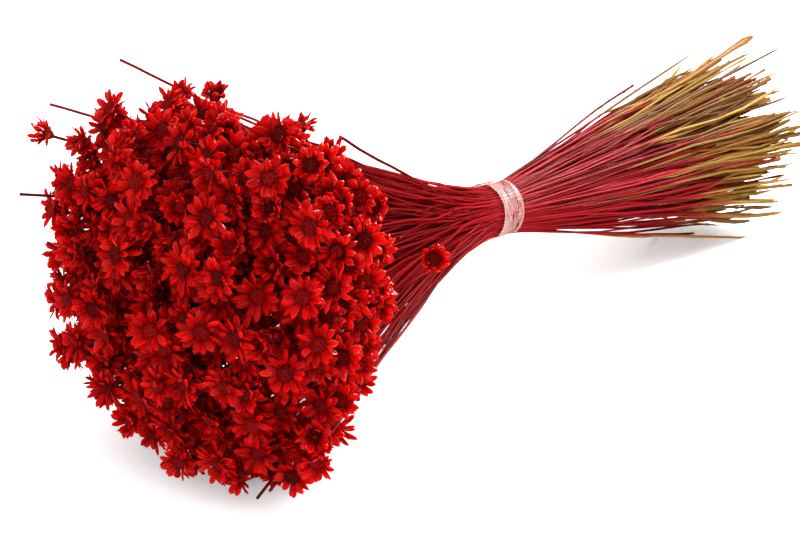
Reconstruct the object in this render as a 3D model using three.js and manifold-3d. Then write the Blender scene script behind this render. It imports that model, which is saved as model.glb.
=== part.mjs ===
// A bunch of small dyed star flowers, dried on their stems and held in the
// middle by one turn of clear tape, lying on its side. The stems fan out from
// the tape both ways: to a broad head of flowers at -X and to the ragged cut
// ends at +X. Z is up and the bunch rests on z = 0. Lengths are millimetres.
//
// Each flower is one grown piece: a cut stem that runs through the tape, and a
// star of pointed petals at its head. The flowers are laid out by one rule
// (a golden-angle spiral with seeded jitter) and joined into six sprays, one
// for each sixth of the round bunch. The stems of a spray grow out of a wedge
// under the tape, where they are pressed into one mass. Every flower is here;
// the stems between the head and the tape, and the cut ends, are thinned out.

import * as THREE from 'three';
import Module from 'manifold-3d';

// ---- driving dimensions -------------------------------------------------

const SPRAYS = 6;
const FLOWERS = 338;
const SEED = 41;

// how the bunch lies: its axis falls gently from the head to the cut ends
const AXIS_FALL_DEG = 3.45;
const TIE_HEIGHT = 47.6;

// tape and the pressed stems inside it, both slightly oval
const TAPE_LENGTH = 12;
const TAPE_THICKNESS = 0.6;
const TAPE_GAP = 0.3;
const TAPE_RADIUS_Y = 10.6;
const TAPE_RADIUS_Z = 11.5;
const TAPE_SIDES = 32;
const CORE_LENGTH = 16;
const CORE_ARC_STEPS = 4;
const SPRAY_GAP = 0.3;

// head: an uneven flattened dome of flowers
const HEAD_REACH = 150;
const HEAD_RADIUS_Y = 64.5;
const HEAD_RADIUS_Z = 58.5;
const HEAD_DOME = 29.5;
const HEAD_WRAP_DEG = 98;
const HEAD_DEPTH = 26;
const HEAD_LOBES = [
  { waves: 2, cos: 0.014, sin: 0.006 },
  { waves: 3, cos: 0.024, sin: 0.031 },
  { waves: 4, cos: -0.045, sin: -0.036 },
];
const DOME_STEPS = 180;

// one flower: petal tips stand up round a flat disc over a narrowing cup
const PETALS = 5;
const PETAL_REACH_MIN = 5.6;
const PETAL_REACH_SPREAD = 1.2;
const VALLEY_SHARE = 0.66;
const TIP_RISE_MIN = 0.5;
const TIP_RISE_SPREAD = 1.3;
const DISC_RISE = 0.4;
const CUP_DEPTH = 2.7;

// it faces along its stem, a little out of the dome and a little astray
const FACE_BACK = 0.9;
const FACE_OUT = 0.1;
const FACE_JITTER = 0.6;

// stems: three-sided, thicker towards the cut end
const STEM_SIDES = 3;
const STEM_RADIUS = 0.56;
const STEM_NECK_RADIUS = 0.5;
const STEM_ROOT_RADIUS = 0.42;
const STEM_END_RADIUS = 0.78;

// how deep it is rooted in the wedge, how far it runs on before it spreads,
// and how far a bend strays from straight before it takes two runs
const STEM_ROOT = 1.6;
const STEM_STRAIGHT = 34;
const STEM_STRAIGHT_SPREAD = 1.3;
const STRAIGHT_ENOUGH = 3.2;

// one stem in FORK_EVERY is whole; where on it the others start, from a point
const FORK_EVERY = 4;
const FORK_ON_BOW = 0.6;
const FORK_ON_STRAIGHT = 0.8;

// how far the stems under the tape keep from the wedge's sides, rim and heart
const SLOT_CLEAR = 0.68;
const SLOT_RIM = 0.8;
const SLOT_HEART = 1.45;

// tail: the cut ends; one stem in TAIL_EVERY shows its own
const TAIL_REACH = 192;
const TAIL_RADIUS_Y = 39;
const TAIL_RADIUS_Z = 38;
const TAIL_RAGGED = 0.17;
const TAIL_EVERY = 3;
const TAIL_JITTER = 0.16;
const TAIL_TURN = 0.2;

// placing: how often a flower is tried and how far each try strays
const TRIES = 300;
const HEAD_JITTER = 0.19;
const MIN_TURN = 0.05;
const POLE_EASE = 0.3;

// how far flowers keep from each other, sideways and in depth
const NEAR = 16;
const NEAR_SIDE = 0.95;
const NEAR_DEEP = 4.2;

// how far a stem keeps from the petals and the cup of a flower it passes
const STEM_MISS = 0.7;
const DISC_PLANE = 0.6;
const CUP_PLANE = -1.3;
const CUP_SHARE = 0.55;
const WIDE_MISS = 9;
const OWN_WEIGHT = 0.01;

// how far stems and cut ends keep from the next spray, never by more than
// this share of their distance from the axis
const SECTOR_CLEAR = 0.85;
const END_CLEAR = 1.3;
const MOST_INSET = 0.49;

// the floor's cut off the lowest petals and ends
const FLOOR_CUT = 0.3;

// single flowers that stand out of the head: the place of the flower in the
// bunch's own frame (x along the axis, tie at the origin) and the way it faces
const LONE_FLOWERS = [
  { at: [-151, 71, 37], face: [-0.6, 0.75, 0.35] },
  { at: [-117, 44, 50], face: [-0.6, 0.1, 0.8] },
  { at: [-113, 32, 51], face: [-0.5, -0.3, 0.8] },
  { at: [-107, -1, 45], face: [-0.2, 0.1, 0.97] },
  { at: [-150, -52, -40], face: [-0.7, -0.6, -0.35] },
  { at: [-116, -64, 17], face: [-0.55, -0.8, 0.25] },
];

// stems that lost their flower, by the place of their tip
const BARE_STEMS = [
  [-131, 58, 61],
  [-148, 73, 46],
  [-180, 45, 26],
  [-107, -18, 44.5],
  [-164, -42, -50],
  [-158, -41, -50],
];

// single cut ends that lie apart from the fan
const LONE_ENDS = [
  [190, -6, 53],
  [120, 14, 35],
  [184, 22, 43],
  [188, -20, 50],
  [149, 12, -39],
  [175, -21, -38],
];

const GOLDEN_ANGLE = Math.PI * (3 - Math.sqrt(5));
const SECTOR = 2 * Math.PI / SPRAYS;

// ---- small helpers ------------------------------------------------------

const wasm = await Module();
wasm.setup();

let seedState = SEED;
function draw() {
  seedState = (seedState * 48271) % 2147483647;
  return seedState / 2147483647;
}

const vec = (x, y, z) => new THREE.Vector3(x, y, z);
const spoke = (angle) => vec(0, Math.cos(angle), Math.sin(angle));
const wrap = (angle) => angle - 2 * Math.PI * Math.floor(angle / (2 * Math.PI));
const sprayOf = (angle) => Math.floor(wrap(angle) / SECTOR) % SPRAYS;
const sectorMiddle = (spray) => (spray + 0.5) * SECTOR;
const angleOf = (p) => Math.atan2(p.z, p.y);

// the bunch's own frame laid down on the floor
const lay = new THREE.Matrix4()
  .makeRotationY(THREE.MathUtils.degToRad(AXIS_FALL_DEG))
  .setPosition(0, 0, TIE_HEIGHT);
const fall = THREE.MathUtils.degToRad(AXIS_FALL_DEG);

// moves a point towards the axis until it is no lower than `low` on the floor
function offFloor(p, low) {
  const lowest = (low - TIE_HEIGHT + p.x * Math.sin(fall)) / Math.cos(fall);
  if (p.z < lowest) {
    const share = lowest / p.z;
    p.y *= share;
    p.z = lowest;
  }
}

// turns a point round the axis until it is `clear` inside its spray's sector
function intoSector(p, spray, clear) {
  const reach = Math.hypot(p.y, p.z);
  const middle = sectorMiddle(spray);
  const most = SECTOR / 2 - Math.asin(Math.min(MOST_INSET, clear / reach));
  let off = wrap(angleOf(p) - middle + Math.PI) - Math.PI;
  off = Math.max(-most, Math.min(most, off));
  p.y = reach * Math.cos(middle + off);
  p.z = reach * Math.sin(middle + off);
}

// two directions square to `along`, the first as near as can be to `towards`
function squareTo(along, towards) {
  const first = towards.clone().addScaledVector(along, -towards.dot(along)).normalize();
  return [first, along.clone().cross(first)];
}

function solidOf(geometry) {
  return new wasm.Manifold(new wasm.Mesh({
    numProp: 3,
    vertProperties: new Float32Array(geometry.attributes.position.array),
    triVerts: new Uint32Array(geometry.index.array),
  }));
}

function geometryOf(solid) {
  const mesh = solid.getMesh();
  const geometry = new THREE.BufferGeometry();
  geometry.setAttribute('position', new THREE.BufferAttribute(mesh.vertProperties.slice(), 3));
  geometry.setIndex(new THREE.BufferAttribute(mesh.triVerts.slice(), 1));
  geometry.computeVertexNormals();
  return geometry;
}

// A closed skin through a row of rings, each { points, turn }. Rings may have
// different numbers of points, and the first may be a single point. Both ends
// are capped: a star's with a flat disc between its valleys and a petal out to
// each tip.
function skin(rings) {
  const positions = [];
  const index = [];
  const starts = rings.map((ring) => {
    const start = positions.length / 3;
    ring.points.forEach((p) => positions.push(p.x, p.y, p.z));
    return start;
  });
  for (let r = 0; r + 1 < rings.length; r += 1) {
    const a = rings[r].points.length;
    const b = rings[r + 1].points.length;
    const lead = rings[r + 1].turn - rings[r].turn;
    let i = 0;
    let j = 0;
    while (i < a || j < b) {
      const here = starts[r] + (i % a);
      const there = starts[r + 1] + (j % b);
      if (j >= b || (i < a && (i + 1) / a <= (j + 1) / b + lead)) {
        if (a > 1) index.push(here, starts[r] + ((i + 1) % a), there);
        i += 1;
      } else {
        index.push(here, starts[r + 1] + ((j + 1) % b), there);
        j += 1;
      }
    }
  }
  const first = rings[0].points.length;
  for (let i = 1; i + 1 < first; i += 1) {
    index.push(starts[0], starts[0] + i + 1, starts[0] + i);
  }
  const { points: last, star } = rings[rings.length - 1];
  const end = starts[rings.length - 1];
  const cap = last.map((_, i) => end + i);
  if (star) {
    for (let i = 0; i < last.length; i += 2) {
      index.push(cap[(i + last.length - 1) % last.length], cap[i], cap[i + 1]);
    }
  }
  const disc = star ? cap.filter((_, i) => i % 2 === 1) : cap;
  for (let i = 1; i + 1 < disc.length; i += 1) {
    index.push(disc[0], disc[i], disc[i + 1]);
  }
  const geometry = new THREE.BufferGeometry();
  geometry.setAttribute('position', new THREE.Float32BufferAttribute(positions, 3));
  geometry.setIndex(index);
  return geometry;
}

// a flat ring of a stem, square to its run
function stemRing(centre, along, towards, radius) {
  const [u, v] = squareTo(along, towards);
  const points = [];
  for (let k = 0; k < STEM_SIDES; k += 1) {
    const a = 2 * Math.PI * k / STEM_SIDES;
    const p = centre.clone();
    p.addScaledVector(u, radius * Math.cos(a)).addScaledVector(v, radius * Math.sin(a));
    points.push(p);
  }
  return { points, turn: 0 };
}

// ---- where the stems sit under the tape ---------------------------------

const coreRadiusY = TAPE_RADIUS_Y - TAPE_THICKNESS - TAPE_GAP;
const coreRadiusZ = TAPE_RADIUS_Z - TAPE_THICKNESS - TAPE_GAP;
function coreRadius(angle) {
  return 1 / Math.hypot(Math.cos(angle) / coreRadiusY, Math.sin(angle) / coreRadiusZ);
}

// a place in the pressed bundle: `share` runs from its heart to its rim
function slot(share, angle) {
  const spray = sprayOf(angle);
  const middle = sectorMiddle(spray);
  const reach = SLOT_HEART + (coreRadius(angle) - SLOT_RIM - SLOT_HEART) * share;
  const room = SECTOR / 2 - Math.asin(SLOT_CLEAR / reach);
  const off = (wrap(angle) - middle) / (SECTOR / 2) * room;
  return spoke(middle + off).multiplyScalar(reach);
}

// ---- where the flowers sit on the head ----------------------------------

// turn from the dome's pole that leaves the given share of its skin inside
const wrapAngle = THREE.MathUtils.degToRad(HEAD_WRAP_DEG);
const meanRadius = Math.sqrt(HEAD_RADIUS_Y * HEAD_RADIUS_Z);
const skinTo = [0];
for (let k = 0; k < DOME_STEPS; k += 1) {
  const a = wrapAngle * (k + 0.5) / DOME_STEPS;
  const belt = Math.sin(a) * Math.hypot(meanRadius * Math.cos(a), HEAD_DOME * Math.sin(a));
  skinTo.push(skinTo[k] + belt);
}
function domeTurn(share) {
  const want = share * skinTo[DOME_STEPS];
  let k = 0;
  while (k < DOME_STEPS - 1 && skinTo[k + 1] < want) k += 1;
  const part = (want - skinTo[k]) / (skinTo[k + 1] - skinTo[k]);
  return wrapAngle * (k + part) / DOME_STEPS;
}

function headPoint(turn, angle) {
  let lobe = 1;
  HEAD_LOBES.forEach((l) => {
    lobe += l.cos * Math.cos(l.waves * angle) + l.sin * Math.sin(l.waves * angle);
  });
  return vec(
    -(HEAD_REACH + HEAD_DOME * Math.cos(turn)),
    lobe * HEAD_RADIUS_Y * Math.sin(turn) * Math.cos(angle),
    lobe * HEAD_RADIUS_Z * Math.sin(turn) * Math.sin(angle),
  );
}

// the stem of a flower as the control points of one quadratic bend
function stemBend(root, neck) {
  const from = vec(-(CORE_LENGTH / 2 - STEM_ROOT), root.y, root.z);
  const spread = STEM_STRAIGHT_SPREAD;
  const mid = vec(-(CORE_LENGTH / 2 + STEM_STRAIGHT), root.y * spread, root.z * spread);
  return new THREE.QuadraticBezierCurve3(from, mid, neck);
}

// how nearly a straight run of stem misses a flower: 1 or more is a miss
function stemMiss(flower, a, b) {
  let miss = WIDE_MISS;
  const planes = [[DISC_PLANE, 1], [CUP_PLANE, CUP_SHARE]];
  planes.forEach(([height, share]) => {
    const ha = a.clone().sub(flower.at).dot(flower.face) - height;
    const hb = b.clone().sub(flower.at).dot(flower.face) - height;
    if (ha * hb < 0) {
      const hit = a.clone().lerp(b, ha / (ha - hb)).sub(flower.at);
      const side = hit.addScaledVector(flower.face, -height).length();
      miss = Math.min(miss, side / (flower.reach * share + STEM_MISS));
    }
  });
  return miss;
}

// how nearly a flower is clear of the ones already placed, 1 being clear:
// first of those in other sprays, which it may not touch, then of its own
function clearance(flower, placed) {
  let own = 1;
  let others = 1;
  placed.forEach((other) => {
    let clear = 1;
    const apart = other.at.clone().sub(flower.at);
    if (apart.length() < NEAR) {
      const wide = (flower.reach + other.reach) * NEAR_SIDE;
      [flower.face, other.face].forEach((face) => {
        const deep = apart.dot(face);
        const side = Math.sqrt(Math.max(0, apart.lengthSq() - deep * deep));
        clear = Math.min(clear, Math.hypot(side / wide, deep / NEAR_DEEP));
      });
    }
    for (let k = 0; k + 1 < other.run.length; k += 1) {
      clear = Math.min(clear, stemMiss(flower, other.run[k], other.run[k + 1]));
    }
    for (let k = 0; k + 1 < flower.run.length; k += 1) {
      clear = Math.min(clear, stemMiss(other, flower.run[k], flower.run[k + 1]));
    }
    if (other.spray === flower.spray) own = Math.min(own, clear);
    else others = Math.min(others, clear);
  });
  return others + own * OWN_WEIGHT;
}

// A flower at a place, with its stem as straight runs. One stem in four goes
// all the way to the tape and the others start part-way up the nearest such
// stem of their spray, because so many side by side would touch all along.
function flowerAt(at, face, reach, rise, root, spray, whole, placed) {
  const neck = at.clone().addScaledVector(face, -CUP_DEPTH);
  let trunk = null;
  if (!whole) {
    placed.forEach((other) => {
      const near = other.whole && other.spray === spray;
      if (near && (!trunk || other.at.distanceTo(at) < trunk.at.distanceTo(at))) trunk = other;
    });
  }
  const flower = { at, face, reach, rise, root, spray, whole: !trunk };
  if (trunk) {
    const [from, to] = trunk.run.slice(-2);
    const share = trunk.run.length > 2 ? FORK_ON_BOW : FORK_ON_STRAIGHT;
    flower.run = [from.clone().lerp(to, share), neck];
  } else {
    const bend = stemBend(root, neck);
    const [from, bow] = [bend.getPoint(0), bend.getPoint(0.5)];
    const lean = neck.clone().sub(from).normalize();
    const bowed = bow.clone().sub(from).cross(lean).length() > STRAIGHT_ENOUGH;
    flower.run = bowed ? [from, bow, neck] : [from, neck];
  }
  return flower;
}

const flowers = [];
function lone(place, face, reach) {
  const at = vec(...place);
  const spray = sprayOf(angleOf(at));
  intoSector(at, spray, SECTOR_CLEAR);
  offFloor(at, 0);
  const root = slot(1, angleOf(at));
  const flower = flowerAt(at, face.normalize(), reach, 1, root, spray, true, []);
  flower.twist = 0;
  flowers.push(flower);
  return flower;
}
LONE_FLOWERS.forEach(({ at, face }) => {
  lone(at, vec(...face), PETAL_REACH_MIN + PETAL_REACH_SPREAD / 2);
});
BARE_STEMS.forEach((tip) => {
  lone(tip, vec(...tip), STEM_RADIUS).bare = true;
});

for (let i = 0; i < FLOWERS; i += 1) {
  const share = Math.sqrt((i + 0.5) / FLOWERS);
  const angle = i * GOLDEN_ANGLE;
  const spray = sprayOf(angle);
  const root = slot(share, angle);
  const turn = domeTurn(share * share);
  let best = null;
  for (let t = 0; t < TRIES; t += 1) {
    const a = Math.max(MIN_TURN, turn + HEAD_JITTER * (draw() - 0.5));
    const f = angle + HEAD_JITTER * (draw() - 0.5) / Math.max(POLE_EASE, Math.sin(a));
    const depth = HEAD_DEPTH * draw();
    const reach = PETAL_REACH_MIN + PETAL_REACH_SPREAD * draw();
    const rise = TIP_RISE_MIN + TIP_RISE_SPREAD * draw();
    const lean = vec(0, draw() - 0.5, draw() - 0.5);
    const at = headPoint(a, f);
    const back = at.clone().normalize();
    at.addScaledVector(back, -depth);
    const out = vec(-Math.cos(a), Math.sin(a) * Math.cos(f), Math.sin(a) * Math.sin(f));
    const face = back.clone().multiplyScalar(FACE_BACK);
    face.addScaledVector(out, FACE_OUT).addScaledVector(lean, FACE_JITTER).normalize();
    const up = -face.x * Math.sin(fall) + face.z * Math.cos(fall);
    offFloor(at, reach * Math.sqrt(1 - up * up) - FLOOR_CUT);
    intoSector(at, spray, SECTOR_CLEAR);
    const whole = i % FORK_EVERY === 0;
    const flower = flowerAt(at, face, reach, rise, root, spray, whole, flowers);
    flower.clear = clearance(flower, flowers);
    if (!best || flower.clear > best.clear) best = flower;
    if (best.clear >= 1 + OWN_WEIGHT) break;
  }
  best.twist = draw();
  flowers.push(best);
}

// ---- solids -------------------------------------------------------------

// a wedge of the pressed stems under the tape
function wedge(spray) {
  const middle = sectorMiddle(spray);
  const inset = spoke(middle).multiplyScalar(SPRAY_GAP / 2 / Math.sin(SECTOR / 2));
  const outline = new THREE.Shape();
  outline.moveTo(inset.y, inset.z);
  for (let k = 0; k <= CORE_ARC_STEPS; k += 1) {
    const off = k / CORE_ARC_STEPS - 0.5;
    const reach = coreRadius(middle + off * SECTOR);
    const gap = 2 * off * Math.asin(SPRAY_GAP / 2 / reach);
    const p = spoke(middle + off * SECTOR - gap).multiplyScalar(reach);
    outline.lineTo(p.y, p.z);
  }
  outline.closePath();
  const points = outline.getPoints().slice(0, CORE_ARC_STEPS + 2);
  const ring = (x) => ({ points: points.map((p) => vec(x, p.x, p.y)), turn: 0 });
  return solidOf(skin([ring(-CORE_LENGTH / 2), ring(CORE_LENGTH / 2)]));
}

// the head side of a stem with its star of petals: petal tips stand up a
// little round a low disc, over a cup that narrows to the stem
function headSolid(flower) {
  const { run, whole } = flower;
  const neck = run[run.length - 1];
  const toHead = neck.clone().sub(run[0]).normalize();
  const spread = flower.root.clone().normalize();
  const rings = [{ points: [run[0]], turn: 0 }];
  if (whole) rings[0] = stemRing(run[0], toHead, spread, STEM_ROOT_RADIUS);
  if (run.length > 2) rings.push(stemRing(run[1], toHead, spread, STEM_RADIUS));
  rings.push(stemRing(neck, flower.face, spread, STEM_NECK_RADIUS));
  const [u, v] = squareTo(flower.face, spread);
  const points = [];
  const turn = flower.twist / (2 * PETALS);
  for (let k = 0; k < 2 * PETALS; k += 1) {
    const a = 2 * Math.PI * (k / (2 * PETALS) + turn);
    const tip = k % 2 === 0;
    const r = flower.reach * (tip ? 1 : VALLEY_SHARE);
    const height = tip ? flower.rise : DISC_RISE;
    const p = flower.at.clone().addScaledVector(flower.face, height);
    p.addScaledVector(u, r * Math.cos(a)).addScaledVector(v, r * Math.sin(a));
    points.push(p);
  }
  rings.push({ points, turn, star: true });
  return solidOf(skin(rings));
}

// a bare length of stem from the pressed bundle to a cut tip
function stickSolid(points, towards, radii) {
  const rings = points.map((p, k) => {
    const before = points[Math.max(0, k - 1)];
    const after = points[Math.min(points.length - 1, k + 1)];
    return stemRing(p, after.clone().sub(before).normalize(), towards, radii[k]);
  });
  return solidOf(skin(rings));
}

const sprays = [];
for (let k = 0; k < SPRAYS; k += 1) sprays.push([wedge(k)]);

flowers.forEach((flower) => {
  const radii = [STEM_ROOT_RADIUS, STEM_RADIUS, STEM_NECK_RADIUS];
  const spread = flower.root.clone().normalize();
  const solid = flower.bare ? stickSolid(flower.run, spread, radii) : headSolid(flower);
  sprays[flower.spray].push(solid);
});

function tailStem(end, root, spray) {
  const from = vec(CORE_LENGTH / 2 - STEM_ROOT, root.y, root.z);
  const stick = stickSolid([from, end], root.clone().normalize(), [STEM_ROOT_RADIUS, STEM_END_RADIUS]);
  sprays[spray].push(stick);
}

seedState = SEED + 1;
for (let i = 0; i < FLOWERS; i += 1) {
  const share = Math.sqrt((i + 0.5) / FLOWERS);
  const angle = i * GOLDEN_ANGLE;
  const spray = sprayOf(angle);
  const ragged = draw();
  const reach = share * (1 + TAIL_JITTER * (draw() - 0.5));
  const turn = angle + TAIL_TURN * (draw() - 0.5);
  if (i % TAIL_EVERY === 0) {
    const end = vec(
      TAIL_REACH * (1 - TAIL_RAGGED * ragged * ragged),
      TAIL_RADIUS_Y * reach * Math.cos(turn),
      TAIL_RADIUS_Z * reach * Math.sin(turn),
    );
    offFloor(end, STEM_END_RADIUS - FLOOR_CUT);
    intoSector(end, spray, END_CLEAR);
    tailStem(end, slot(share, angle), spray);
  }
}
LONE_ENDS.forEach((place) => {
  const end = vec(...place);
  const spray = sprayOf(angleOf(end));
  intoSector(end, spray, END_CLEAR);
  offFloor(end, STEM_END_RADIUS - FLOOR_CUT);
  tailStem(end, slot(1, angleOf(end)), spray);
});

// one turn of clear tape
function tapeSolid() {
  const oval = (grow) => {
    const ring = new THREE.EllipseCurve(0, 0, TAPE_RADIUS_Y - grow, TAPE_RADIUS_Z - grow);
    return ring.getPoints(TAPE_SIDES).slice(0, TAPE_SIDES);
  };
  const column = (points, half) => {
    const ring = (x) => ({ points: points.map((p) => vec(x, p.x, p.y)), turn: 0 });
    return solidOf(skin([ring(-half), ring(half)]));
  };
  const hole = column(oval(TAPE_THICKNESS), TAPE_LENGTH);
  return column(oval(0), TAPE_LENGTH / 2).subtract(hole);
}

// ---- the bunch ----------------------------------------------------------

// the floor takes a sliver off the lowest petals and ends, so they rest flat
const FLOOR_SIZE = 900;
const FLOOR_DEEP = 20;
const floor = solidOf(boxSkin(FLOOR_SIZE / 2, -FLOOR_DEEP));

function boxSkin(half, low) {
  const ring = (z) => ({
    points: [vec(-half, -half, z), vec(half, -half, z), vec(half, half, z), vec(-half, half, z)],
    turn: 0,
  });
  return skin([ring(low), ring(0)]);
}

const dyedStems = new THREE.MeshStandardMaterial({ color: 0xb01018, roughness: 0.62, metalness: 0 });
const clearTape = new THREE.MeshStandardMaterial({ color: 0xe9c9c8, roughness: 0.18, metalness: 0 });

const bunch = new THREE.Group();
const box = new THREE.Box3();
function addPiece(name, solid, material) {
  const piece = new THREE.Mesh(geometryOf(solid), material.clone());
  piece.name = name;
  piece.geometry.computeBoundingBox();
  box.union(piece.geometry.boundingBox);
  bunch.add(piece);
}

sprays.forEach((solids, k) => {
  const joined = solids.reduce((sum, next) => sum.add(next));
  const lying = joined.transform(lay.toArray()).subtract(floor);
  addPiece(`spray_${k + 1}`, lying, dyedStems);
});
addPiece('tape_band', tapeSolid().transform(lay.toArray()), clearTape);

// origin on the floor under the middle of the bunch
const middle = box.getCenter(new THREE.Vector3());
bunch.position.set(-middle.x, -middle.y, 0);
bunch.updateMatrixWorld(true);

export default bunch;
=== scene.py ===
import math

import bpy
import numpy as np
from mathutils import Matrix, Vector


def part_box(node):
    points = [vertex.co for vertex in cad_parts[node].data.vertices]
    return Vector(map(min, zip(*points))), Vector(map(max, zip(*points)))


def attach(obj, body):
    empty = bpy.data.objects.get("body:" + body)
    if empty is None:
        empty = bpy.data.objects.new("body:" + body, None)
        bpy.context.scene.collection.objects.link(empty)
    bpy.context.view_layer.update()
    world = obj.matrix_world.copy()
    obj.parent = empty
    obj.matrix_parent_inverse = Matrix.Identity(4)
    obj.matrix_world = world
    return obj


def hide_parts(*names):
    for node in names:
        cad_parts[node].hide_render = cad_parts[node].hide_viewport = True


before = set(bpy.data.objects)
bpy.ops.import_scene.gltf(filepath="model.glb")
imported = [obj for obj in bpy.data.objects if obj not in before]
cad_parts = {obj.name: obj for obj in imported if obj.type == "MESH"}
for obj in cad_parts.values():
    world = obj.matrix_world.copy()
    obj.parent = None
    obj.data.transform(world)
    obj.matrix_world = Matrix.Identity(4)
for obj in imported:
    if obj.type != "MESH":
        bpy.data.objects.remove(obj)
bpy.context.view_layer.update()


# ---- Camera ---------------------------------------------------------------
# It looks down on the bunch past the near edge of the flower head. Its place
# is worked back from the tie, which it sees right of the picture's middle.

MM = 0.001

picture_middle = np.array([400.0, 266.5])
tie_seen_at = np.array([493.0, 210.5])
lens_in_pixels = 1400.0
tie_away = 535.4 * MM
look_turn = math.radians(-49.5)
look_drop = math.radians(18.9)

tie = np.mean([np.array(corner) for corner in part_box("tape_band")], axis=0)
forward = np.array([
    -math.sin(look_turn) * math.cos(look_drop),
    math.cos(look_turn) * math.cos(look_drop),
    -math.sin(look_drop),
])
right = np.array([math.cos(look_turn), math.sin(look_turn), 0.0])
down = np.cross(forward, right)
off_middle = (tie_seen_at - picture_middle) / lens_in_pixels
towards_tie = forward + right * off_middle[0] + down * off_middle[1]
eye = tie - tie_away * towards_tie / np.linalg.norm(towards_tie)


def standing(side, up, back, place):
    """The matrix of an object at a place, from the directions of its own x, y and z."""
    return Matrix([*np.column_stack([side, up, back, place]).tolist(), [0.0, 0.0, 0.0, 1.0]])


camera_data = bpy.data.cameras.new("camera")
camera_data.sensor_fit = "HORIZONTAL"
camera_data.sensor_width = 36.0
camera_data.lens = camera_data.sensor_width * lens_in_pixels / (2 * picture_middle[0])
camera_data.clip_start = 10 * MM
camera = bpy.data.objects.new("camera", camera_data)
camera.matrix_world = standing(right, -down, -forward, eye)
bpy.context.scene.collection.objects.link(camera)
bpy.context.scene.camera = camera
bpy.context.scene.view_settings.view_transform = "Standard"


# ---- Table and light ------------------------------------------------------
# A plain white table top under an even white sky, with one broad soft light
# above the cut ends and to the right of the bunch. Its gloss comes from that
# light alone: shiny surfaces see neither the sky nor the table.

table_half = 4.0
table_grey, table_glow = 0.93, 0.25
sky_strength = 1.62
lamp_size = 0.6
lamp_power = 11.0
lamp_at = (0.47, -0.20, 0.70)
lamp_aims_at = (-0.05, 0.0, 0.05)


def sockets(node, **values):
    """Sets input sockets of a shader node by name, with _ for a space."""
    for name, value in values.items():
        node.inputs[name.replace("_", " ")].default_value = value


def blank_material(name):
    """A material with one plain shader, and that shader. Until the next one is begun, every
    function that adds a shader node adds it to this one's tree."""
    global tree
    material = bpy.data.materials.new(name)
    material.use_nodes = True
    tree = material.node_tree
    return material, tree.nodes["Principled BSDF"]


table_white, table_shader = blank_material("table_white")
sockets(
    table_shader, Base_Color=(table_grey, table_grey, table_grey, 1), Roughness=0.85,
    Specular_IOR_Level=0.1, Emission_Color=(1, 1, 1, 1), Emission_Strength=table_glow)
table_mesh = bpy.data.meshes.new("table")
table_mesh.from_pydata(
    [(-table_half, -table_half, 0), (table_half, -table_half, 0),
     (table_half, table_half, 0), (-table_half, table_half, 0)], [], [(0, 1, 2, 3)])
table_mesh.materials.append(table_white)
table = bpy.data.objects.new("table", table_mesh)
bpy.context.scene.collection.objects.link(table)
table.visible_glossy = False

sky = bpy.data.worlds.new("sky")
sky.use_nodes = True
sockets(sky.node_tree.nodes["Background"], Color=(1, 1, 1, 1), Strength=sky_strength)
sky.cycles_visibility.glossy = False
bpy.context.scene.world = sky

lamp_data = bpy.data.lights.new("lamp", "AREA")
lamp_data.shape = "DISK"
lamp_data.size = lamp_size
lamp_data.energy = lamp_power
lamp = bpy.data.objects.new("lamp", lamp_data)
lamp_back = np.array(lamp_at) - np.array(lamp_aims_at)
lamp_back /= np.linalg.norm(lamp_back)
lamp_side = np.cross([0, 0, 1], lamp_back)
lamp_side /= np.linalg.norm(lamp_side)
lamp.matrix_world = standing(lamp_side, np.cross(lamp_back, lamp_side), lamp_back, lamp_at)
bpy.context.scene.collection.objects.link(lamp)


# ---- Where each flower sits -----------------------------------------------
# The bunch was gathered in one hand: the flowers crowd into an uneven dome and
# their stems meet in the tie. Places are in millimetres in the bunch's own
# frame, with x along it, the tie at 0, the flowers at -x and the cut ends at +x.

FLOWERS = 338
SPRAYS = 6
SEED = 41
SECTOR = 2 * math.pi / SPRAYS
GOLDEN_ANGLE = math.pi * (3 - math.sqrt(5))

axis_fall = math.radians(3.45)
tie_height = 47.6

tape_radius_y = 10.6
tape_radius_z = 11.5
tape_thickness = 0.6
tape_gap = 0.3
core_length = 16.0
core_radius_y = tape_radius_y - tape_thickness - tape_gap
core_radius_z = tape_radius_z - tape_thickness - tape_gap

head_reach = 150.0
head_radius_y = 64.5
head_radius_z = 58.5
head_dome = 29.5
head_wrap = math.radians(98)
head_depth = 26.0
head_lobes = [(2, 0.014, 0.006), (3, 0.024, 0.031), (4, -0.045, -0.036)]
dome_steps = 180

petal_reach_min, petal_reach_spread = 5.6, 1.2
tip_rise_min, tip_rise_spread = 0.5, 1.3
cup_depth = 2.7
bare_size = 0.56
face_back, face_out, face_jitter = 0.9, 0.1, 0.6

stem_root = 1.6
stem_straight, stem_straight_spread = 34.0, 1.3
straight_enough = 3.2
fork_every, fork_on_bow, fork_on_straight = 4, 0.6, 0.8
slot_clear, slot_rim, slot_heart = 0.68, 0.8, 1.45

tries, head_jitter, min_turn, pole_ease = 300, 0.19, 0.05, 0.3
near, near_side, near_deep = 16.0, 0.95, 4.2
stem_miss, wide_miss, own_weight = 0.7, 9.0, 0.01
miss_planes, miss_shares = np.array([0.6, -1.3]), np.array([1.0, 0.55])
sector_clear, end_clear, most_inset = 0.85, 1.3, 0.49
floor_cut = 0.3

# single flowers that stand out of the head: place and the way each one faces
lone_flowers = [
    ([-151, 71, 37], [-0.6, 0.75, 0.35]),
    ([-117, 44, 50], [-0.6, 0.1, 0.8]),
    ([-113, 32, 51], [-0.5, -0.3, 0.8]),
    ([-107, -1, 45], [-0.2, 0.1, 0.97]),
    ([-150, -52, -40], [-0.7, -0.6, -0.35]),
    ([-116, -64, 17], [-0.55, -0.8, 0.25]),
]

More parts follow.
